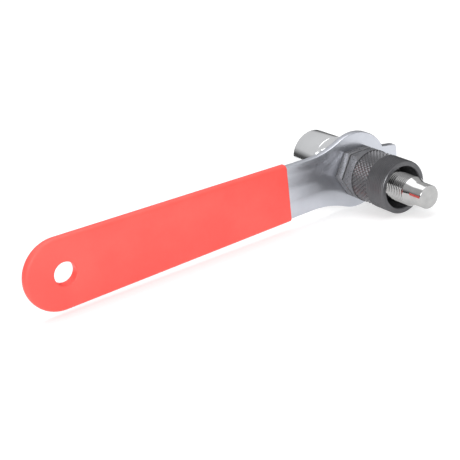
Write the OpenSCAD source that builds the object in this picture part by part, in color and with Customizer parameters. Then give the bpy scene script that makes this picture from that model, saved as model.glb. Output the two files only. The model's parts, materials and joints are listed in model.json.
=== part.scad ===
// Crank puller with a dipped handle and a socket, in millimetres.
// X runs along the handle, Y along the drive axis, and the whole tool leans about X
// by the angle at which it lies on a bench. The origin is halfway along the puller thread.

/* [Puller sleeve] */
// Crest diameter of the thread that screws into the crank arm
thread_d = 22; // [21.5:0.1:23]
// Length of that thread, with the chamfer at its mouth
thread_len = 10.5; // [8:0.5:14]
// Chamfer at the sleeve's mouth
mouth_chamfer = 0.5; // [0.2:0.1:1]
// Diameter of the wide bore behind the mouth
mouth_bore_d = 17.4; // [15:0.1:18.5]
// Depth of the wide bore
mouth_bore_depth = 12; // [8:0.5:15]
// Length of the knurled band
knurl_len = 9.3; // [7:0.1:12]
// Height of the knurl's points above its grooves
knurl_depth = 0.45; // [0.2:0.05:0.6]
// Number of grooves that run round the band each way
knurl_starts = 40; // [24:1:60]
// Angle of the knurl's grooves to the drive axis
knurl_angle = 40; // [30:1:50]
// Plain rim between the knurl and the hexagon
knurl_rim = 0.5; // [0.3:0.1:1]
// Width across the flats of the sleeve's hexagon
sleeve_af = 19; // [17:0.5:19]
// Length of the sleeve's hexagon
sleeve_hex_len = 5.5; // [4:0.5:9]

/* [Spindle] */
// Crest diameter of the spindle's thread
spindle_d = 12; // [10:0.5:13]
// Diameter of the plain tip
tip_d = 9.6; // [7:0.1:9.8]
// Distance that the tip stands out of the sleeve's mouth
tip_reach = 15.3; // [13:0.1:20]
// Length of the plain tip
tip_len = 6.2; // [4:0.1:8]
// Length of the rounded shoulder between thread and tip
shoulder_len = 2.8; // [2:0.1:4]
// Edge break at the end of the tip
tip_chamfer = 0.3; // [0.1:0.05:0.6]

/* [Clamp nut] */
// Width across the flats of the nut
nut_af = 19; // [17:0.5:22]
// Thickness of the nut
nut_t = 4.2; // [3:0.1:6]
// Gap between the nut and the screwed back sleeve
nut_gap = 0.7; // [0.5:0.1:3]

/* [Handle plate] */
// Thickness of the stamped plate
plate_t = 3; // [2.5:0.1:4]
// Radius of the round head about the drive axis
head_r = 16.2; // [15:0.1:18]
// Half width of the neck where its straight sides start
neck_half_w = 11.1; // [9.5:0.1:12]
// Distance from the drive axis to where the straight sides start
neck_start = 24; // [22:0.5:26]
// Growth of the half width for each millimetre of length
side_slope = 0.0217; // [0.005:0.001:0.04]
// Radius of the hollow curve between neck and head
blend_r = 40; // [32:1:48]
// Distance from the drive axis to the end of the cap blade
blade_reach = 22.4; // [20:0.2:28]
// Width of the cap blade where it leaves the head
blade_root_w = 12.6; // [11:0.1:15]
// Width of the cap blade at its end
blade_end_w = 10.6; // [8:0.1:11]
// Radius of the blade's corners
blade_corner_r = 1.7; // [0.5:0.1:3]

/* [Grip] */
// Distance from the drive axis to the grip's cut end
grip_start = 35; // [32:0.5:60]
// Distance from the drive axis to the grip's round end
grip_reach = 153.2; // [147:0.2:170]
// Thickness of the dipped skin on the faces of the plate
skin_t = 0.7; // [0.5:0.05:1.5]
// Thickness of the skin round the plate's edges
skin_edge = 1; // [0.5:0.05:2]
// Rounding of the grip's edges
edge_round = 1.6; // [0.5:0.1:2]
// Corner radius of the grip's cut end
grip_corner_r = 1.9; // [1:0.1:4]
// Diameter of the hang hole
hang_d = 9.2; // [6:0.1:12]
// Distance from the grip's round end to the middle of the hang hole
hang_from_end = 16.4; // [14:0.2:28]
// Thickness of the skin inside the hang hole
hole_skin = 0.8; // [0.4:0.05:1.5]
// Radius of the lips round the hang hole
hole_lip_r = 0.6; // [0.2:0.05:0.7]

/* [Socket] */
// Width across the flats of the hexagonal neck
neck_af = 17; // [15:0.5:18]
// Length of the neck
neck_len = 10.5; // [10:0.5:16]
// Angle that the neck's corners are turned by
neck_turn = 13.5; // [0:0.5:30]
// Outer diameter of the socket
socket_d = 21.3; // [20:0.1:24]
// Length of the socket's round barrel
socket_len = 17; // [15:0.5:24]
// Length of the bevel next to the neck
bevel_len = 2.2; // [1:0.1:3]
// Edge break at the socket's mouth
rim_chamfer = 0.5; // [0.2:0.1:0.8]
// Width across the flats of the drive hexagon
drive_af = 14; // [12:0.5:15]
// Depth of the drive hexagon
drive_depth = 12; // [8:0.5:13]
// Diameter of the relief drilled below the hexagon
relief_d = 11; // [6:0.5:11.5]
// Depth of that relief
relief_depth = 2; // [1:0.5:3]
// Depth to which the spindle is fixed in the neck
shank_depth = 8.5; // [5:0.5:9]

/* [Fits] */
// Gap all round between the spindle and the sleeve that runs on it
run_gap = 0.05; // [0.02:0.01:0.1]
// Gap all round between the spindle and the pieces fixed to it
seat_gap = 0.03; // [0.02:0.01:0.1]
// Gap below the end of the spindle in the neck
end_gap = 0.3; // [0.1:0.1:1]

/* [Hidden] */
$fn = 96;

// Radii and places along the drive axis, counted from the sleeve's mouth
thread_r = thread_d / 2;
spindle_r = spindle_d / 2;
tip_r = tip_d / 2;
band_end = thread_len + knurl_len;
sleeve_len = band_end + sleeve_hex_len;
nut_front = sleeve_len + nut_gap;
plate_front = nut_front + nut_t;
plate_back = plate_front + plate_t;
plate_mid = plate_front + plate_t / 2;
hang_x = grip_reach - hang_from_end;
thread_mid = (mouth_chamfer + thread_len) / 2;

// The tool lies on the lower edge of its round head and on the edge of its mouth
lean = atan((head_r - thread_r) / (plate_front - mouth_chamfer));

// Straight sides of the handle, and the round end that touches both of them
side_sec = sqrt(1 + side_slope * side_slope);
side_turn = atan(side_slope);
side_at_axis = neck_half_w - side_slope * neck_start;
end_x = (grip_reach - skin_edge - side_at_axis / side_sec) / (1 + side_slope / side_sec);
end_r = grip_reach - skin_edge - end_x;
grip_t = plate_t + 2 * skin_t;

// Centre of the hollow curve: blend_r away from the side line and from the head's circle
blend_lift = side_at_axis + blend_r * side_sec;
blend_b = side_slope * blend_lift;
blend_c = blend_lift * blend_lift - pow(head_r + blend_r, 2);
blend_x = (-blend_b + sqrt(blend_b * blend_b - side_sec * side_sec * blend_c)) / (side_sec * side_sec);
blend_z = blend_lift + side_slope * blend_x;
blend_angle = atan2(blend_z, -blend_x);

// Sizes that only the drawing of shapes needs
cut = 1;
hex_chamfer_angle = 12;
knurl_sunk = 0.25;
corner_fn = 32;

// Half width of the handle's straight side at a distance d from the drive axis
function side_z(d) = side_at_axis + side_slope * d;

// Points of an arc about c from angle a to angle b
function arc(c, r, a, b, n) = [for (i = [0:n]) let (t = a + (b - a) * i / n)
    [c[0] + r * cos(t), c[1] + r * sin(t)]];

// A half outline and its mirror image below the X axis, as one closed outline
function both_sides(half) = concat(half,
    [for (i = [len(half) - 1:-1:0]) if (half[i][1] > 0.001) [half[i][0], -half[i][1]]]);

// Turns a shape drawn along Z from the mouth into the tool's drive axis
module along_drive() rotate([-90, 0, 0]) children();

// Moves a shape from the mouth to the row's origin, and leans it as the tool lies
module placed() rotate([lean, 0, 0]) translate([0, -thread_mid, 0]) children();

// A slab with the outline given in X and Z, centred on the handle plate
module plate_slab(points, thickness)
    translate([0, plate_mid + thickness / 2, 0]) rotate([90, 0, 0])
        linear_extrude(thickness) polygon(points);

// Hexagonal bar with its corners turned down at one end or both
module hex_bar(af, len, low_end = false, high_end = true) {
    flat_r = af / 2;
    corner_r = flat_r / cos(30);
    drop = (corner_r - flat_r) * tan(hex_chamfer_angle);
    low = low_end ? drop : 0;
    high = high_end ? drop : 0;
    intersection() {
        cylinder(r = corner_r, h = len, $fn = 6);
        rotate_extrude() polygon([
            [0, 0], [low_end ? flat_r : corner_r + cut, 0], [corner_r + (low_end ? 0 : cut), low],
            [corner_r + (high_end ? 0 : cut), len - high],
            [high_end ? flat_r : corner_r + cut, len], [0, len]]);
    }
}

// Diamond knurl: points and groove crossings take turns round each ring and from ring to ring
module knurl(r, depth, len, starts, angle) {
    around = 2 * starts;
    half_pitch = PI * r / starts;
    rows = max(2, round(len * tan(angle) / half_pitch));
    surface = [for (j = [0:rows], i = [0:around - 1])
        let (a = i * 360 / around, p = r - ((i + j) % 2) * depth)
        [p * cos(a), p * sin(a), len * j / rows]];
    function at(i, j) = j * around + i % around;
    skin = [for (j = [0:rows - 1], i = [0:around - 1], half = [0, 1])
        (i + j) % 2 == 0
            ? (half == 0 ? [at(i, j), at(i, j + 1), at(i + 1, j)]
                         : [at(i + 1, j + 1), at(i + 1, j), at(i, j + 1)])
            : (half == 0 ? [at(i, j), at(i + 1, j + 1), at(i + 1, j)]
                         : [at(i, j), at(i, j + 1), at(i + 1, j + 1)])];
    low = [for (i = [0:around - 1]) at(i, 0)];
    high = [for (i = [around - 1:-1:0]) at(i, rows)];
    polyhedron(points = surface, faces = concat(skin, [low, high]));
}

// Round disc of the grip with rounded edges, lying in the plane of the plate
module round_disc(r) {
    round_r = min(edge_round, grip_t / 2 - 0.05, r - 0.05);
    translate([0, plate_mid, 0]) rotate([90, 0, 0])
        rotate_extrude($fn = corner_fn) polygon(concat([[0, -grip_t / 2]],
            arc([r - round_r, round_r - grip_t / 2], round_r, -90, 0, 4),
            arc([r - round_r, grip_t / 2 - round_r], round_r, 0, 90, 4), [[0, grip_t / 2]]));
}

// Outline of the stamped plate from the cap blade to the handle's round end
plate_outline = both_sides(concat(
    arc([blade_reach - blade_corner_r, blade_end_w / 2 - blade_corner_r], blade_corner_r, 0, 85, 4),
    arc([0, 0], head_r, asin(blade_root_w / 2 / head_r), blend_angle, 14),
    arc([-blend_x, blend_z], blend_r, blend_angle - 180, -90 - side_turn, 8),
    arc([-end_x, 0], end_r, 90 - side_turn, 180, 14)));

// Zinc plated steel plate with a round head, a flat cap blade and a hole for hanging
module handle_plate() {
    color("lightsteelblue") placed() difference() {
        plate_slab(plate_outline, plate_t);
        translate([0, plate_front - cut, 0]) along_drive()
            cylinder(r = spindle_r + seat_gap, h = plate_t + 2 * cut);
        translate([-hang_x, plate_front - cut, 0]) along_drive()
            cylinder(r = hang_d / 2 + hole_skin, h = plate_t + 2 * cut);
    }
}

// Vinyl skin that the handle is dipped in, one piece round the plate and through its hole
module grip() {
    corner_x = grip_start + grip_corner_r;
    corner_z = side_z(corner_x) + (skin_edge - grip_corner_r) * side_sec;
    lip_r = min(hole_lip_r, skin_t);
    hole_r = hang_d / 2;
    color("tomato") placed() difference() {
        hull() {
            translate([-end_x, 0, 0]) round_disc(end_r + skin_edge);
            for (side = [-1, 1]) translate([-corner_x, 0, side * corner_z]) round_disc(grip_corner_r);
        }
        difference() {
            plate_slab(plate_outline, plate_t);
            translate([-hang_x, plate_front - cut, 0]) along_drive()
                cylinder(r = hole_r + hole_skin, h = plate_t + 2 * cut);
        }
        translate([-hang_x, plate_mid - grip_t / 2, 0]) along_drive() rotate_extrude() polygon(concat(
            [[0, -cut], [hole_r + lip_r, -cut]],
            arc([hole_r + lip_r, lip_r], lip_r, -90, -180, 4),
            arc([hole_r + lip_r, grip_t - lip_r], lip_r, 180, 90, 4),
            [[hole_r + lip_r, grip_t + cut], [0, grip_t + cut]]));
    }
}

// Chromed socket with a hexagonal neck that stands on the plate
module socket() {
    barrel_r = socket_d / 2;
    flat_r = neck_af / 2;
    drive_r = drive_af / 2 / cos(30);
    lead_in = drive_r - drive_af / 2;
    color("silver") placed() translate([0, plate_back, 0]) along_drive() difference() {
        union() {
            rotate([0, 0, -neck_turn]) hex_bar(neck_af, neck_len + bevel_len, false, false);
            translate([0, 0, neck_len]) rotate_extrude() polygon([
                [0, 0], [flat_r, 0], [barrel_r, bevel_len], [barrel_r, socket_len - rim_chamfer],
                [barrel_r - rim_chamfer, socket_len], [0, socket_len]]);
        }
        translate([0, 0, -cut]) cylinder(r = spindle_r + seat_gap, h = shank_depth + end_gap + cut);
        translate([0, 0, neck_len + socket_len - drive_depth]) rotate([0, 0, -neck_turn])
            cylinder(r = drive_r, h = drive_depth + cut, $fn = 6);
        translate([0, 0, neck_len + socket_len - drive_depth - relief_depth])
            cylinder(r = relief_d / 2, h = relief_depth + cut);
        translate([0, 0, neck_len + socket_len - lead_in])
            cylinder(r1 = drive_r - lead_in, r2 = drive_r + cut, h = lead_in + cut);
    }
}

// Threaded spindle with a plain round tip, fixed in the socket's neck
module spindle() {
    mid_r = (spindle_r + tip_r) / 2;
    thread_end = -tip_reach + tip_len + shoulder_len;
    step = shoulder_len / 2;
    color("gainsboro") placed() along_drive() rotate_extrude() polygon(concat(
        [[0, -tip_reach], [tip_r - tip_chamfer, -tip_reach], [tip_r, -tip_reach + tip_chamfer]],
        [for (t = [0:15:180]) [mid_r - (spindle_r - tip_r) / 2 * cos(t), thread_end - step - step * cos(t)]],
        [[spindle_r, plate_back + shank_depth], [0, plate_back + shank_depth]]));
}

// Hexagonal nut that clamps the plate against the neck
module clamp_nut() {
    color("dimgray") placed() translate([0, nut_front, 0]) along_drive() difference() {
        hex_bar(nut_af, nut_t, true, false);
        translate([0, 0, -cut]) cylinder(r = spindle_r + seat_gap, h = nut_t + 2 * cut);
    }
}

// Sleeve that screws into the crank arm: thread, knurled band and hexagon, bored for the spindle
module puller_sleeve() {
    core_r = thread_r - 2 * knurl_depth;
    rim_start = band_end - knurl_rim;
    color("dimgray") placed() along_drive() difference() {
        union() {
            rotate_extrude() polygon([
                [0, 0], [thread_r - mouth_chamfer, 0], [thread_r, mouth_chamfer],
                [thread_r, thread_len], [core_r, thread_len], [core_r, rim_start],
                [thread_r, rim_start], [thread_r, band_end], [0, band_end]]);
            translate([0, 0, thread_len - knurl_sunk])
                knurl(thread_r - knurl_sunk / 10, knurl_depth, rim_start - thread_len + 2 * knurl_sunk,
                    knurl_starts, knurl_angle);
            translate([0, 0, band_end]) hex_bar(sleeve_af, sleeve_hex_len, false, true);
        }
        translate([0, 0, -cut]) cylinder(r = mouth_bore_d / 2, h = mouth_bore_depth + cut);
        cylinder(r = spindle_r + run_gap, h = sleeve_len + cut);
    }
}

handle_plate();
grip();
socket();
spindle();
clamp_nut();
puller_sleeve();
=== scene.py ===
# %% [markdown]
# # A crank puller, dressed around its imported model
# The real tool is six pieces: a zinc plated handle plate dipped in red vinyl, a chromed socket,
# a bright threaded spindle, a black clamp nut and a black puller sleeve that screws along the spindle.
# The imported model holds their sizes. This lesson builds each piece again with threads, knurl,
# rounded edges and finishes, and puts it exactly where the model says.

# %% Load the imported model
import json
import math

import bpy
from mathutils import Matrix, Vector


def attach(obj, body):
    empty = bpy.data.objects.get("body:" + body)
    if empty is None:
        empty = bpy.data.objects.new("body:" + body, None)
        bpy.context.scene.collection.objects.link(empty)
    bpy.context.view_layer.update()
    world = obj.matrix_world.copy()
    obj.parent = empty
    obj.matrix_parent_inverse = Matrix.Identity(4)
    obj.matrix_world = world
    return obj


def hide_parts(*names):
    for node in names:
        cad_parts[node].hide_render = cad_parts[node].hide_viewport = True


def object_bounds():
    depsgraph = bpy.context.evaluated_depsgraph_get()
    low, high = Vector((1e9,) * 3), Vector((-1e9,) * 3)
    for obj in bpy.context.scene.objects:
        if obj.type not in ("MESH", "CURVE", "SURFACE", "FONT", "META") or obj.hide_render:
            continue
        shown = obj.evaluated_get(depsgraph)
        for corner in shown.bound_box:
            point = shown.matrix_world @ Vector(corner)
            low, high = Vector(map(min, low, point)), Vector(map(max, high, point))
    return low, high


MM = 0.001
WELD = 0.002 * MM
CUT_LIMIT = 0.0001 * MM
SHARP_ANGLE = 40
FLAT_ANGLE = 1
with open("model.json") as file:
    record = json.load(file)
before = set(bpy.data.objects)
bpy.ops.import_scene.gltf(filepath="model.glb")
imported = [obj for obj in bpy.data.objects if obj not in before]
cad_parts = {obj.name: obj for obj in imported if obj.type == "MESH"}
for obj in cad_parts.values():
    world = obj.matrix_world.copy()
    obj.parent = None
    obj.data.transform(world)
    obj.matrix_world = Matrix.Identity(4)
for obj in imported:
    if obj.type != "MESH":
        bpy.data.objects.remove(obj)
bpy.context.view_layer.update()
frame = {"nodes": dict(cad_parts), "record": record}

# %% [markdown]
# ## The drive frame
# The tool lies on a bench, so it leans about X. Every piece is simpler to model upright, with Z along
# the drive axis towards the socket and X along the handle. The lean is read from the puller thread's
# axis in the record, and the heights of each piece are read from its solid.

# %% Read the lean and the heights
mounts = {m["name"]: m for m in frame["record"]["mounts"]}
puller_axis = Vector(mounts["puller_thread"]["axis"])
lean = math.atan2(-puller_axis.z, -puller_axis.y)
lean_turn = Matrix.Rotation(lean, 4, "X")
drive_to_row = lean_turn @ Matrix.Rotation(math.radians(-90), 4, "X")
row_to_drive = drive_to_row.inverted()


def span(node):
    """Lowest and highest place of a node along the drive axis, and its largest radius about it."""
    points = [row_to_drive @ v.co for v in frame["nodes"][node].data.vertices]
    heights = [p.z for p in points]
    return min(heights), max(heights), max(math.hypot(p.x, p.y) for p in points)


mouth, sleeve_end, _ = span("puller_sleeve")
tip_end, shank_end, spindle_r = span("spindle")
nut_front, plate_front, nut_corner_r = span("clamp_nut")
plate_back, socket_mouth, socket_r = span("socket")
grip_front, grip_back, _ = span("grip")
thread_r = mounts["puller_thread"]["dims"]["r_mm"] * MM
plate_mid = (plate_front + plate_back) / 2
print("lean", round(math.degrees(lean), 2))
print("mouth", round(mouth / MM, 2), "plate", round(plate_mid / MM, 2))

# %% [markdown]
# ## Helpers
# Operators act on whatever is selected, so each helper selects one piece alone first. Turned pieces
# are a profile, extruded point by point and spun. Threads are one tooth wound up by the Screw modifier,
# which is how a die cuts them.

# %% Selection, modifiers and placing
def only(piece):
    """Leaves object mode if needed, and selects this piece alone."""
    if bpy.context.object and bpy.context.object.mode != "OBJECT":
        bpy.ops.object.mode_set(mode="OBJECT")
    bpy.ops.object.select_all(action="DESELECT")
    piece.select_set(True)
    bpy.context.view_layer.objects.active = piece


def newest(name):
    """Names the primitive that was just added."""
    piece = bpy.context.object
    piece.name = name
    piece.data.name = name
    return piece


def edit(piece):
    """Opens a piece in edit mode with everything selected."""
    only(piece)
    bpy.ops.object.mode_set(mode="EDIT")
    bpy.ops.mesh.select_mode(type="VERT")
    bpy.ops.mesh.select_all(action="SELECT")


def finish_mesh(piece):
    """Welds a piece, points its faces outwards and goes back to object mode."""
    edit(piece)
    bpy.ops.mesh.remove_doubles(threshold=WELD)
    bpy.ops.mesh.normals_make_consistent(inside=False)
    bpy.ops.object.mode_set(mode="OBJECT")


def modify(piece, kind, **values):
    """Adds a modifier, sets its values and applies it."""
    only(piece)
    modifier = piece.modifiers.new(kind.title(), kind)
    for key, value in values.items():
        setattr(modifier, key, value)
    bpy.ops.object.modifier_apply(modifier=modifier.name)


def combine(piece, other, operation):
    """Joins, cuts or intersects a piece with another closed piece, which is then removed."""
    modify(piece, "BOOLEAN", object=other, operation=operation, solver="EXACT")
    bpy.data.objects.remove(other)


def select_edges(piece, wanted):
    """Selects the edges for which wanted(first point, second point, face normals) holds."""
    only(piece)
    bpy.ops.object.mode_set(mode="EDIT")
    bpy.ops.mesh.select_mode(type="EDGE")
    bpy.ops.mesh.select_all(action="DESELECT")
    bpy.ops.object.mode_set(mode="OBJECT")
    mesh = piece.data
    normals = {}
    for face in mesh.polygons:
        for key in face.edge_keys:
            normals.setdefault(key, []).append(face.normal.copy())
    count = 0
    for edge in mesh.edges:
        a, b = (mesh.vertices[i].co for i in edge.vertices)
        edge.select = bool(wanted(a, b, normals.get(edge.key, [])))
        count += edge.select
    bpy.ops.object.mode_set(mode="EDIT")
    return count


def round_edges(piece, wanted, width, segments=3):
    """Rounds the chosen edges of a piece."""
    count = select_edges(piece, wanted)
    bpy.ops.mesh.bevel(offset=width, segments=segments, affect="EDGES", clamp_overlap=True)
    bpy.ops.object.mode_set(mode="OBJECT")
    return count


def sharp(a, b, normals):
    """True for an edge between two faces that meet at a clear angle."""
    return len(normals) == 2 and normals[0].angle(normals[1], 0) > math.radians(SHARP_ANGLE)


def seat(piece, node, body, material, smooth=30):
    """Leans a finished piece into the row's frame, gives it its finish and replaces its solid."""
    only(piece)
    piece.matrix_world = drive_to_row @ piece.matrix_world
    bpy.ops.object.transform_apply(location=True, rotation=True, scale=True)
    bpy.ops.object.shade_smooth_by_angle(angle=math.radians(smooth))
    piece.data.materials.clear()
    piece.data.materials.append(material)
    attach(piece, body)
    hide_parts(node)
    print(piece.name, len(piece.data.polygons), "faces")


# %% Turned shapes, threads and hexagons
def turned(name, profile, steps=96):
    """A solid of revolution about Z: the profile's points are (radius, height)."""
    bpy.ops.object.select_all(action="DESELECT")
    bpy.ops.mesh.primitive_plane_add(size=MM)
    piece = newest(name)
    edit(piece)
    bpy.ops.mesh.merge(type="CENTER")
    here = Vector((0, 0, 0))
    for number, (radius, height) in enumerate(profile):
        there = Vector((radius, 0, height))
        if number == 0:
            bpy.ops.transform.translate(value=there)
        else:
            bpy.ops.mesh.extrude_region_move(TRANSFORM_OT_translate={"value": there - here})
        here = there
    bpy.ops.mesh.select_all(action="SELECT")
    bpy.ops.mesh.spin(steps=steps, angle=math.tau, center=(0, 0, 0), axis=(0, 0, 1), dupli=False)
    finish_mesh(piece)
    return piece


def threaded(name, crest_r, pitch, depth, low, high, steps=72):
    """A closed threaded rod between two heights."""
    root_r = crest_r - depth
    tooth = [(root_r, 0), (crest_r, 0.36), (crest_r, 0.48), (root_r, 0.84), (root_r, 1)]
    bpy.ops.object.select_all(action="DESELECT")
    bpy.ops.mesh.primitive_plane_add(size=MM)
    piece = newest(name)
    edit(piece)
    bpy.ops.mesh.merge(type="CENTER")
    start = low - 2 * pitch
    here = Vector((0, 0, 0))
    for number, (radius, share) in enumerate(tooth):
        there = Vector((radius, 0, start + share * pitch))
        if number == 0:
            bpy.ops.transform.translate(value=there)
        else:
            bpy.ops.mesh.extrude_region_move(TRANSFORM_OT_translate={"value": there - here})
        here = there
    bpy.ops.object.mode_set(mode="OBJECT")
    turns = math.ceil((high - low) / pitch) + 3
    modify(piece, "SCREW", axis="Z", angle=math.tau, screw_offset=pitch, iterations=turns,
           steps=steps, render_steps=steps)
    edit(piece)
    bpy.ops.mesh.remove_doubles(threshold=WELD)
    bpy.ops.mesh.select_all(action="SELECT")
    bpy.ops.mesh.bisect(plane_co=(0, 0, low), plane_no=(0, 0, 1), use_fill=True, clear_inner=True,
                        threshold=CUT_LIMIT)
    bpy.ops.mesh.select_all(action="SELECT")
    bpy.ops.mesh.bisect(plane_co=(0, 0, high), plane_no=(0, 0, 1), use_fill=True, clear_outer=True,
                        threshold=CUT_LIMIT)
    finish_mesh(piece)
    return piece


def rod(name, radius, low, high, sides=96, turn=0.0, x=0.0, y=0.0):
    """An upright bar with any number of sides between two heights."""
    bpy.ops.object.select_all(action="DESELECT")
    bpy.ops.mesh.primitive_cylinder_add(
        vertices=sides, radius=radius, depth=high - low, location=(x, y, (low + high) / 2),
        rotation=(0, 0, math.radians(turn)))
    piece = newest(name)
    bpy.ops.object.transform_apply(location=True, rotation=True, scale=True)
    return piece


def arc(centre, radius, start, end, steps):
    """Points of an arc in the profile plane, angles in degrees."""
    turns = [math.radians(start + (end - start) * i / steps) for i in range(steps + 1)]
    return [(centre[0] + radius * math.cos(t), centre[1] + radius * math.sin(t)) for t in turns]


# %% [markdown]
# ## Finishes
# Each finish starts from two node groups. One lays soft clouds of a second colour over the first,
# as plating, oxide and vinyl all have. The other varies the roughness and raises a fine grain.

# %% Shared node groups
def socket_of(group, name, way, kind, value=None):
    """Adds a named input or output to a node group."""
    made = group.interface.new_socket(name=name, in_out=way, socket_type=kind)
    if value is not None:
        made.default_value = value
    return made


def noise(nodes, links, vector, scale, detail):
    """A noise texture whose scale comes from a socket."""
    texture = nodes.new("ShaderNodeTexNoise")
    texture.inputs["Detail"].default_value = detail
    links.new(vector, texture.inputs["Vector"])
    links.new(scale, texture.inputs["Scale"])
    return texture.outputs["Fac"]


def ranged(nodes, links, value, low, high):
    """Maps a noise value between two sockets or numbers."""
    spread = nodes.new("ShaderNodeMapRange")
    spread.inputs["From Min"].default_value = 0.35
    spread.inputs["From Max"].default_value = 0.65
    links.new(value, spread.inputs["Value"])
    for name, end in (("To Min", low), ("To Max", high)):
        if isinstance(end, (int, float)):
            spread.inputs[name].default_value = end
        else:
            links.new(end, spread.inputs[name])
    return spread.outputs["Result"]


def make_clouds():
    """Clouds of a second colour over the first."""
    group = bpy.data.node_groups.new("surface_clouds", "ShaderNodeTree")
    for name, kind, value in (("Vector", "NodeSocketVector", None), ("Scale", "NodeSocketFloat", 60.0),
                              ("Amount", "NodeSocketFloat", 0.5), ("Color", "NodeSocketColor", None),
                              ("Second", "NodeSocketColor", None)):
        socket_of(group, name, "INPUT", kind, value)
    socket_of(group, "Color", "OUTPUT", "NodeSocketColor")
    nodes, links = group.nodes, group.links
    given = nodes.new("NodeGroupInput")
    result = nodes.new("NodeGroupOutput")
    cloud = noise(nodes, links, given.outputs["Vector"], given.outputs["Scale"], 5.0)
    mask = ranged(nodes, links, cloud, 0.0, given.outputs["Amount"])
    mix = nodes.new("ShaderNodeMix")
    mix.data_type = "RGBA"
    links.new(mask, mix.inputs["Factor"])
    links.new(given.outputs["Color"], mix.inputs["A"])
    links.new(given.outputs["Second"], mix.inputs["B"])
    links.new(mix.outputs["Result"], result.inputs["Color"])
    return group


def make_grain():
    """Roughness that varies, and a fine grain as a normal."""
    group = bpy.data.node_groups.new("surface_grain", "ShaderNodeTree")
    for name, kind, value in (("Vector", "NodeSocketVector", None), ("Scale", "NodeSocketFloat", 900.0),
                              ("Smooth", "NodeSocketFloat", 0.2), ("Rough", "NodeSocketFloat", 0.4),
                              ("Height", "NodeSocketFloat", 0.00001)):
        socket_of(group, name, "INPUT", kind, value)
    socket_of(group, "Roughness", "OUTPUT", "NodeSocketFloat")
    socket_of(group, "Normal", "OUTPUT", "NodeSocketVector")
    nodes, links = group.nodes, group.links
    given = nodes.new("NodeGroupInput")
    result = nodes.new("NodeGroupOutput")
    fine = noise(nodes, links, given.outputs["Vector"], given.outputs["Scale"], 3.0)
    links.new(ranged(nodes, links, fine, given.outputs["Smooth"], given.outputs["Rough"]),
              result.inputs["Roughness"])
    bump = nodes.new("ShaderNodeBump")
    links.new(fine, bump.inputs["Height"])
    links.new(given.outputs["Height"], bump.inputs["Distance"])
    links.new(bump.outputs["Normal"], result.inputs["Normal"])
    return group


clouds = make_clouds()
grain = make_grain()
print("node groups", clouds.name, grain.name)


# %% The finishes themselves
def finish_of(name, color, second, cloud_scale, cloud_amount, grain_scale, smooth, rough, height,
              metallic=1.0):
    """A Principled material with clouds for its colour and grain for its roughness and normal."""
    material = bpy.data.materials.new(name)
    material.use_nodes = True
    nodes, links = material.node_tree.nodes, material.node_tree.links
    shader = nodes["Principled BSDF"]
    place = nodes.new("ShaderNodeTexCoord")
    mapping = nodes.new("ShaderNodeMapping")
    mapping.inputs["Rotation"].default_value = (-lean, 0, 0)
    links.new(place.outputs["Object"], mapping.inputs["Vector"])
    tint = nodes.new("ShaderNodeGroup")
    tint.node_tree = clouds
    tint.inputs["Scale"].default_value = cloud_scale
    tint.inputs["Amount"].default_value = cloud_amount
    tint.inputs["Color"].default_value = (*color, 1)
    tint.inputs["Second"].default_value = (*second, 1)
    links.new(mapping.outputs["Vector"], tint.inputs["Vector"])
    links.new(tint.outputs["Color"], shader.inputs["Base Color"])
    skin = nodes.new("ShaderNodeGroup")
    skin.node_tree = grain
    skin.inputs["Scale"].default_value = grain_scale
    skin.inputs["Smooth"].default_value = smooth
    skin.inputs["Rough"].default_value = rough
    skin.inputs["Height"].default_value = height
    links.new(mapping.outputs["Vector"], skin.inputs["Vector"])
    links.new(skin.outputs["Roughness"], shader.inputs["Roughness"])
    links.new(skin.outputs["Normal"], shader.inputs["Normal"])
    shader.inputs["Metallic"].default_value = metallic
    return material


zinc = finish_of("zinc_plating", (0.62, 0.64, 0.69), (0.54, 0.56, 0.61),
                 cloud_scale=90, cloud_amount=0.6,
                 grain_scale=700, smooth=0.28, rough=0.33, height=0.0008 * MM)
chrome = finish_of("polished_chrome", (0.86, 0.87, 0.88), (0.78, 0.79, 0.80),
                   cloud_scale=120, cloud_amount=0.5,
                   grain_scale=2500, smooth=0.07, rough=0.14, height=0.001 * MM)
bright_steel = finish_of("bright_steel", (0.48, 0.48, 0.475), (0.38, 0.38, 0.38),
                         cloud_scale=300, cloud_amount=0.6,
                         grain_scale=2500, smooth=0.08, rough=0.15, height=0.002 * MM)
black_oxide = finish_of("black_oxide", (0.135, 0.135, 0.142), (0.105, 0.105, 0.112),
                        cloud_scale=250, cloud_amount=0.6,
                        grain_scale=900, smooth=0.28, rough=0.36, height=0.001 * MM, metallic=0.6)
# A lighter copy of the black oxide: painted highlight for the hexagon faces that the key light falls on.
oxide_painted_light = finish_of("oxide_painted_light", (0.21, 0.21, 0.218), (0.17, 0.17, 0.177),
                         cloud_scale=300, cloud_amount=0.6,
                         grain_scale=900, smooth=0.26, rough=0.34, height=0.001 * MM, metallic=0.6)
vinyl = finish_of("red_vinyl", (1.0, 0.105, 0.084), (0.95, 0.085, 0.068),
                  cloud_scale=70, cloud_amount=0.7,
                  grain_scale=1100, smooth=0.44, rough=0.56, height=0.012 * MM, metallic=0.0)
finishes = (zinc, chrome, bright_steel, black_oxide, oxide_painted_light, vinyl)
print("finishes", [m.name for m in finishes])
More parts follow.
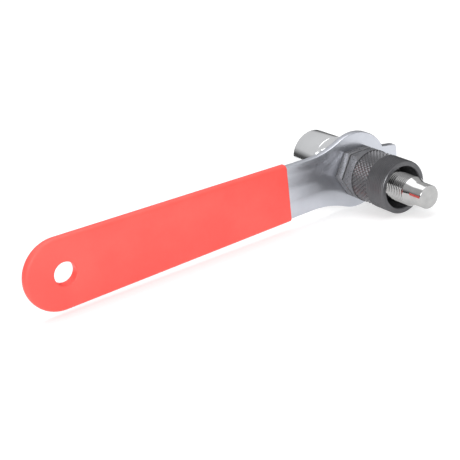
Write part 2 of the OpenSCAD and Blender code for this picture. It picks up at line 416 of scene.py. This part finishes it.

# %% [markdown]
# ## The puller sleeve
# The real sleeve is turned from black bar: a puller thread at its mouth, a knurled band to spin it with
# the fingers and a hexagon for a spanner. Thread, band and hexagon are made as closed bars, joined into
# one, and then bored out, in the order that a lathe does it. The hexagon's faces take a second, lighter
# copy of the black oxide, a painted highlight where the key light falls on them.

# %% Sizes of the sleeve
THREAD_PITCH = 1.0 * MM
THREAD_DEPTH = 0.6 * MM
MOUTH_CHAMFER = 0.5 * MM
THREAD_LENGTH = 10.5 * MM
KNURL_LENGTH = 9.3 * MM
KNURL_RIM = 0.5 * MM
KNURL_DEPTH = 0.45 * MM
KNURL_STARTS = 40
KNURL_TIP_FLAT = 0.14 * MM
KNURL_ANGLE = 40
KNURL_SUNK = 0.02 * MM
RIM_CHAMFER = 0.15 * MM
HEX_EDGE = 0.15 * MM
BORE_CHAMFER = 0.3 * MM
RUNNING_GAP = 0.05 * MM
SEATED_GAP = 0.03 * MM
SLEEVE_FLATS = 19 * MM
MOUTH_BORE_R = 8.7 * MM
MOUTH_BORE_DEPTH = 12 * MM
OVERLAP = 0.2 * MM
thread_end = mouth + THREAD_LENGTH
band_end = thread_end + KNURL_LENGTH
core_r = thread_r - 2 * KNURL_DEPTH


# %% Model the knurled band
def knurled(name, radius, low, high, starts, depth):
    """A band of small pyramids: every second point of every ring is pressed in."""
    around = 2 * starts
    half_pitch = math.pi * radius / starts
    rows = round((high - low) * math.tan(math.radians(KNURL_ANGLE)) / half_pitch)
    step = (high - low) / rows
    piece = rod(name, radius, low, high, sides=around)
    edit(piece)
    for row in range(1, rows):
        bpy.ops.mesh.select_all(action="SELECT")
        bpy.ops.mesh.bisect(plane_co=(0, 0, low + row * step), plane_no=(0, 0, 1),
                            threshold=CUT_LIMIT)

    def parity(point):
        """0 for a pyramid's point and 1 for a crossing of two grooves."""
        place = math.atan2(point.y, point.x) / math.tau * around
        return (round(place) + round((point.z - low) / step)) % 2

    def select_points(wanted):
        """Selects the points of the band for which wanted(place) holds."""
        bpy.ops.mesh.select_mode(type="VERT")
        bpy.ops.mesh.select_all(action="DESELECT")
        bpy.ops.object.mode_set(mode="OBJECT")
        for vertex in piece.data.vertices:
            vertex.select = wanted(vertex.co)
        bpy.ops.object.mode_set(mode="EDIT")

    select_points(lambda p: parity(p) == 1)
    pressed = 1 - depth / radius
    bpy.ops.transform.resize(value=(pressed, pressed, 1), center_override=(0, 0, 0))
    bpy.ops.mesh.select_all(action="SELECT")
    bpy.ops.mesh.quads_convert_to_tris(quad_method="SHORTEST_DIAGONAL", ngon_method="BEAUTY")
    select_points(lambda p: parity(p) == 0 and low + step / 2 < p.z < high - step / 2)
    bpy.ops.mesh.bevel(offset=KNURL_TIP_FLAT, segments=1, affect="VERTICES")
    finish_mesh(piece)
    print(name, rows, "rows of", starts)
    return piece


# %% Turn, knurl and mill the sleeve
def hex_corner(flats):
    """The corner radius of a hexagon with this size across its flats."""
    return flats / 2 / math.cos(math.pi / 6)


sleeve = threaded("puller_sleeve_turned", thread_r, THREAD_PITCH, THREAD_DEPTH,
                  mouth, thread_end, steps=96)
nose = turned("nose", [(0, mouth - MM), (thread_r - MOUTH_CHAMFER - MM, mouth - MM),
                       (thread_r + MM, mouth + MM + MOUTH_CHAMFER), (thread_r + MM, thread_end + MM),
                       (0, thread_end + MM)])
combine(sleeve, nose, "INTERSECT")
band = knurled("band", thread_r - KNURL_SUNK, thread_end - OVERLAP, band_end - KNURL_RIM + OVERLAP,
               KNURL_STARTS, KNURL_DEPTH)
root_r = thread_r - THREAD_DEPTH
core = turned("core", [
    (0, thread_end - MM),
    (core_r, thread_end - MM),
    (core_r, thread_end - 2 * OVERLAP),
    (root_r, thread_end - 2 * OVERLAP),
    (root_r, thread_end),
    (core_r, thread_end),
    (core_r, band_end - KNURL_RIM),
    (thread_r, band_end - KNURL_RIM),
    (thread_r, band_end - RIM_CHAMFER),
    (thread_r - RIM_CHAMFER, band_end),
    (0, band_end)])
combine(sleeve, core, "UNION")
combine(sleeve, band, "UNION")
hexagon = rod("hexagon", hex_corner(SLEEVE_FLATS), band_end - 2 * OVERLAP, sleeve_end,
              sides=6, turn=30)
round_edges(hexagon, sharp, HEX_EDGE, 2)
combine(sleeve, hexagon, "UNION")
bore_bottom = mouth + MOUTH_BORE_DEPTH
bore = turned("bore", [
    (0, mouth - MM),
    (MOUTH_BORE_R + BORE_CHAMFER, mouth - MM),
    (MOUTH_BORE_R + BORE_CHAMFER, mouth),
    (MOUTH_BORE_R, mouth + BORE_CHAMFER),
    (MOUTH_BORE_R, bore_bottom),
    (spindle_r + RUNNING_GAP, bore_bottom + MM),
    (spindle_r + RUNNING_GAP, sleeve_end + MM),
    (0, sleeve_end + MM)])
combine(sleeve, bore, "DIFFERENCE")
finish_mesh(sleeve)
seat(sleeve, "puller_sleeve", "sleeve", black_oxide, smooth=24)
# The hexagon's faces take the lighter oxide copy, a painted highlight from the key light.
sleeve.data.materials.append(oxide_painted_light)
for face in sleeve.data.polygons:
    if (row_to_drive @ face.center).z > band_end + 0.01 * MM:
        face.material_index = 1

# %% [markdown]
# ## The spindle
# The spindle is bright steel with a fine thread along its whole length and a plain tip that pushes on the
# axle. Its shoulder is a soft S between the two radii. The thread is wound all the way to the nut, so that
# it shows behind the sleeve when the sleeve is screwed out.

# %% Model the spindle
SPINDLE_THREAD_DEPTH = 0.55 * MM
TIP_R = 4.8 * MM
TIP_LENGTH = 6.2 * MM
SHOULDER = 2.8 * MM
TIP_EDGE = 0.3 * MM
shoulder_start = tip_end + TIP_LENGTH
rod_start = shoulder_start + SHOULDER
mid_r = (spindle_r + TIP_R) / 2
swing = (spindle_r - TIP_R) / 2
shoulder_turns = [math.cos(t * math.pi / 12) for t in range(13)]
shoulder_curve = [(mid_r - swing * c, shoulder_start + SHOULDER * (1 - c) / 2) for c in shoulder_turns]
spindle_root_r = spindle_r - SPINDLE_THREAD_DEPTH
spindle = turned("spindle_turned", [(0, tip_end), (TIP_R - TIP_EDGE, tip_end)]
                 + arc((TIP_R - TIP_EDGE, tip_end + TIP_EDGE), TIP_EDGE, -90, 0, 3)[1:]
                 + shoulder_curve
                 + [(spindle_r, rod_start + 0.25 * MM), (spindle_root_r, rod_start + 0.6 * MM),
                    (spindle_root_r, nut_front + MM), (spindle_r, nut_front + MM),
                    (spindle_r, shank_end), (0, shank_end)])
winding = threaded("winding", spindle_r, THREAD_PITCH, SPINDLE_THREAD_DEPTH,
                   rod_start + 0.5 * MM, nut_front + 1.5 * MM)
combine(spindle, winding, "UNION")
finish_mesh(spindle)
seat(spindle, "spindle", "handle", bright_steel, smooth=30)

# %% [markdown]
# ## The handle plate
# The plate is stamped, so its outline comes from the solid as it is. A copy of the solid is welded, its
# flat faces are joined again, and its edges get the small rounding that tumbling leaves. That rounding
# catches the light, as on the real plate.

# %% Model the plate
def copy_of(node, name):
    """A welded copy of a solid in the drive frame, with its flat faces joined."""
    only(frame["nodes"][node])
    bpy.ops.object.duplicate()
    piece = newest(name)
    piece.parent = None
    for key in list(piece.keys()):
        del piece[key]
    piece.matrix_world = row_to_drive
    bpy.ops.object.transform_apply(location=True, rotation=True, scale=True)
    edit(piece)
    bpy.ops.mesh.remove_doubles(threshold=WELD)
    bpy.ops.mesh.dissolve_limited(angle_limit=math.radians(FLAT_ANGLE))
    bpy.ops.object.mode_set(mode="OBJECT")
    return piece


PLATE_EDGE = 0.3 * MM
plate = copy_of("handle_plate", "handle_plate_stamped")
plate_cutter = copy_of("handle_plate", "plate_cutter")


def plate_rim(a, b, normals):
    """True for an outline edge where a flat face meets the side."""
    return len(normals) == 2 and abs(abs(normals[0].z) - abs(normals[1].z)) > 0.5


count = round_edges(plate, plate_rim, PLATE_EDGE, 3)
print("plate edges rounded", count)
seat(plate, "handle_plate", "handle", zinc, smooth=35)

# %% [markdown]
# ## The vinyl grip
# The handle is dipped in liquid vinyl, which leaves one even skin with soft edges, cut straight at the
# neck. Three discs and their convex hull give the plan, a bevel rounds its edges, a straight cut trims it,
# and the plate is then taken out of it, so the skin is as thin as the real one.

# %% Model the grip
GRIP_START = 35 * MM
GRIP_SKIN = 1.0 * MM
GRIP_ROUND = 1.7 * MM
GRIP_CUT_ROUND = 0.35 * MM
SIDE_SLOPE = 0.0217
SIDE_AT_AXIS = 11.1 * MM - SIDE_SLOPE * 24 * MM
HANG_R = mounts["hang_hole"]["dims"]["r_mm"] * MM
hang_x = mounts["hang_hole"]["pos_m"][0]
side_sec = math.hypot(1, SIDE_SLOPE)
grip_low = min((row_to_drive @ v.co).x for v in frame["nodes"]["grip"].data.vertices)
round_x = (-grip_low - GRIP_SKIN - SIDE_AT_AXIS / side_sec) / (1 + SIDE_SLOPE / side_sec)
round_r = -grip_low - round_x
FRONT_R = 2.5 * MM
TRIM = 3 * MM
front_x = GRIP_START - TRIM + FRONT_R
front_y = SIDE_AT_AXIS + SIDE_SLOPE * front_x + (GRIP_SKIN - FRONT_R) * side_sec
grip = rod("grip_dipped", round_r, grip_front, grip_back, sides=128, x=-round_x)
corners = [rod(f"corner_{side}", FRONT_R, grip_front, grip_back, sides=32, x=-front_x, y=side * front_y)
           for side in (-1, 1)]
only(grip)
for corner in corners:
    corner.select_set(True)
bpy.ops.object.join()
edit(grip)
bpy.ops.mesh.convex_hull()
bpy.ops.mesh.select_all(action="SELECT")
bpy.ops.mesh.dissolve_limited(angle_limit=math.radians(FLAT_ANGLE))
bpy.ops.object.mode_set(mode="OBJECT")
round_edges(grip, plate_rim, GRIP_ROUND, 6)
edit(grip)
bpy.ops.mesh.bisect(plane_co=(-GRIP_START, 0, 0), plane_no=(1, 0, 0), use_fill=True, clear_outer=True,
                        threshold=CUT_LIMIT)
bpy.ops.object.mode_set(mode="OBJECT")


def on_cut(a, b, normals):
    """True for an edge of the straight cut."""
    return abs(a.x + GRIP_START) < 0.001 * MM and abs(b.x + GRIP_START) < 0.001 * MM


round_edges(grip, on_cut, GRIP_CUT_ROUND, 3)
combine(grip, plate_cutter, "DIFFERENCE")
LIP_R = 0.65 * MM
lip_x = HANG_R + LIP_R
hole = turned("hole", [(0, grip_front - MM), (lip_x, grip_front - MM), (lip_x, grip_front)]
              + arc((lip_x, grip_front + LIP_R), LIP_R, -90, -180, 5)[1:]
              + arc((lip_x, grip_back - LIP_R), LIP_R, 180, 90, 5)
              + [(lip_x, grip_back + MM), (0, grip_back + MM)], steps=64)
hole.location.x = hang_x
combine(grip, hole, "DIFFERENCE")
finish_mesh(grip)
seat(grip, "grip", "handle", vinyl, smooth=40)

# %% [markdown]
# ## The socket
# The socket is turned and chromed: a hexagonal neck that stands on the plate, a bevel, and a round barrel
# with a broached hexagon inside. The neck's corners run into the bevel, so neck and barrel are joined, not
# stacked.

# %% Model the socket
NECK_FLATS = 17 * MM
NECK_LENGTH = 10.5 * MM
NECK_TURN = 30 - 13.5
BEVEL_LENGTH = 2.2 * MM
DRIVE_FLATS = 14 * MM
DRIVE_DEPTH = 12 * MM
RELIEF_R = 5.5 * MM
RELIEF_DEPTH = 2 * MM
MOUTH_ROUND = 0.7 * MM
BEVEL_ROUND = 0.4 * MM
NECK_EDGE = 0.25 * MM
SHANK_CLEARANCE = 0.3 * MM
barrel_start = plate_back + NECK_LENGTH
drive_corner_r = hex_corner(DRIVE_FLATS)
drive_bottom = socket_mouth - DRIVE_DEPTH
lead_in = drive_corner_r - DRIVE_FLATS / 2
rim_curve = arc((socket_r - MOUTH_ROUND, socket_mouth - MOUTH_ROUND), MOUTH_ROUND, 0, 90, 5)
bevel_centre = (socket_r - BEVEL_ROUND, barrel_start + BEVEL_LENGTH + 0.17 * MM)
barrel = turned("socket_turned", [(0, barrel_start), (NECK_FLATS / 2, barrel_start)]
                + arc(bevel_centre, BEVEL_ROUND, -45, 0, 3)
                + rim_curve + [(0, socket_mouth)], steps=128)
neck = rod("neck", hex_corner(NECK_FLATS), plate_back, barrel_start + BEVEL_LENGTH,
           sides=6, turn=NECK_TURN)
round_edges(neck, lambda a, b, n: sharp(a, b, n) and abs(a.z - b.z) > MM, NECK_EDGE, 3)
combine(barrel, neck, "UNION")
drive = rod("drive", drive_corner_r, drive_bottom, socket_mouth + MM, sides=6, turn=NECK_TURN)
combine(barrel, drive, "DIFFERENCE")
relief = turned("relief", [
    (0, drive_bottom - RELIEF_DEPTH),
    (RELIEF_R, drive_bottom - RELIEF_DEPTH),
    (RELIEF_R, drive_bottom + 0.1 * MM),
    (0, drive_bottom + 0.1 * MM)], steps=64)
combine(barrel, relief, "DIFFERENCE")
mouth_cone = turned("mouth_cone", [
    (0, socket_mouth - lead_in),
    (drive_corner_r - lead_in, socket_mouth - lead_in),
    (drive_corner_r + MM, socket_mouth + MM),
    (0, socket_mouth + MM)])
combine(barrel, mouth_cone, "DIFFERENCE")
pocket = rod("pocket", spindle_r + SEATED_GAP, plate_back - MM, shank_end + SHANK_CLEARANCE, sides=64)
combine(barrel, pocket, "DIFFERENCE")
finish_mesh(barrel)
seat(barrel, "socket", "handle", chrome, smooth=25)

# %% [markdown]
# ## The clamp nut
# The nut is cut from the same black hexagon as the sleeve and clamps the plate against the socket's neck.

# %% Model the nut
NUT_EDGE = 0.2 * MM
nut = rod("clamp_nut_cut", nut_corner_r, nut_front, plate_front, sides=6, turn=30)
round_edges(nut, sharp, NUT_EDGE, 2)
nut_bore = rod("nut_bore", spindle_r + SEATED_GAP, nut_front - MM, plate_front + MM, sides=96)
combine(nut, nut_bore, "DIFFERENCE")
finish_mesh(nut)
# The nut takes the lighter oxide copy too, a painted highlight from the key light.
seat(nut, "clamp_nut", "handle", oxide_painted_light, smooth=30)

# %% [markdown]
# ## Floor, light and camera
# The tool lies on a pale floor, with a soft light from the front left. The world is bright overhead and
# darker round the horizon, because polished metal shows whatever stands round it, and needs both to read
# as metal. The floor gives off some light of its own, which keeps it white and its shadows faint.

# %% Floor
low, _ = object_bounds()
bpy.ops.object.select_all(action="DESELECT")
bpy.ops.mesh.primitive_plane_add(size=6, location=(0, 0, low.z))
floor = newest("floor")
FLOOR_TONE = (0.5, 0.5, 0.5, 1)
FLOOR_GLOW = 0.58
paper = bpy.data.materials.new("floor_paper")
paper.use_nodes = True
paper_shader = paper.node_tree.nodes["Principled BSDF"]
paper_shader.inputs["Base Color"].default_value = FLOOR_TONE
paper_shader.inputs["Emission Color"].default_value = (1, 1, 1, 1)
paper_shader.inputs["Emission Strength"].default_value = FLOOR_GLOW
paper_shader.inputs["Roughness"].default_value = 0.9
floor.data.materials.append(paper)
print("floor at", round(low.z / MM, 2))


# %% Lights and world
def soft_light(name, place, size, power, target=(0, 0, 0)):
    """A square soft light that looks at a point."""
    bpy.ops.object.light_add(type="AREA", location=place)
    light = bpy.context.object
    light.name = name
    light.data.size = size
    light.data.energy = power
    light.rotation_mode = "QUATERNION"
    light.rotation_quaternion = (Vector(target) - Vector(place)).to_track_quat("-Z", "Y")
    return light


key = soft_light("key", place=(-0.7, -0.75, 0.3), size=0.45, power=5.2)
print("light", key.name)

world = bpy.data.worlds.new("studio")
bpy.context.scene.world = world
world.use_nodes = True
world_nodes, world_links = world.node_tree.nodes, world.node_tree.links
sky = world_nodes.new("ShaderNodeTexCoord")
split = world_nodes.new("ShaderNodeSeparateXYZ")
ramp = world_nodes.new("ShaderNodeValToRGB")
# Each stop is a height above the horizon, from 0 to 1, and how bright the world is there.
SKY = ((0.0, 0.01), (0.16, 0.03), (0.42, 0.2), (0.86, 0.22), (0.93, 0.95), (1.0, 1.0))
while len(ramp.color_ramp.elements) < len(SKY):
    ramp.color_ramp.elements.new(0.5)
for stop, (height, value) in zip(ramp.color_ramp.elements, SKY):
    stop.position = height
    stop.color = (value, value, value * 1.01, 1)
world_links.new(sky.outputs["Generated"], split.inputs["Vector"])
world_links.new(split.outputs["Z"], ramp.inputs["Fac"])
world_links.new(ramp.outputs["Color"], world_nodes["Background"].inputs["Color"])
SKY_STRENGTH = 3.1
world_nodes["Background"].inputs["Strength"].default_value = SKY_STRENGTH
bpy.context.scene.view_settings.view_transform = "Standard"

# %% Camera
CAMERA_PLACE = Vector((-297.2, -392.82, 188.44)) * MM
CAMERA_RIGHT = Vector((0.82951, -0.54766, -0.10947))
CAMERA_UP = Vector((0.302, 0.27496, 0.91279))
CAMERA_LENS = 97.54
camera_turn = Matrix((CAMERA_RIGHT, CAMERA_UP, CAMERA_RIGHT.cross(CAMERA_UP))).transposed()
place = CAMERA_PLACE + Vector((0, plate_mid, 0))
bpy.ops.object.camera_add()
camera = bpy.context.object
camera.name = "photo_camera"
camera.data.lens = CAMERA_LENS
camera.data.sensor_width = 36
camera.data.clip_start = 0.01
camera.matrix_world = lean_turn @ Matrix.Translation(place) @ camera_turn.to_4x4()
bpy.context.scene.camera = camera
print("camera", [round(v, 3) for v in camera.matrix_world.translation])
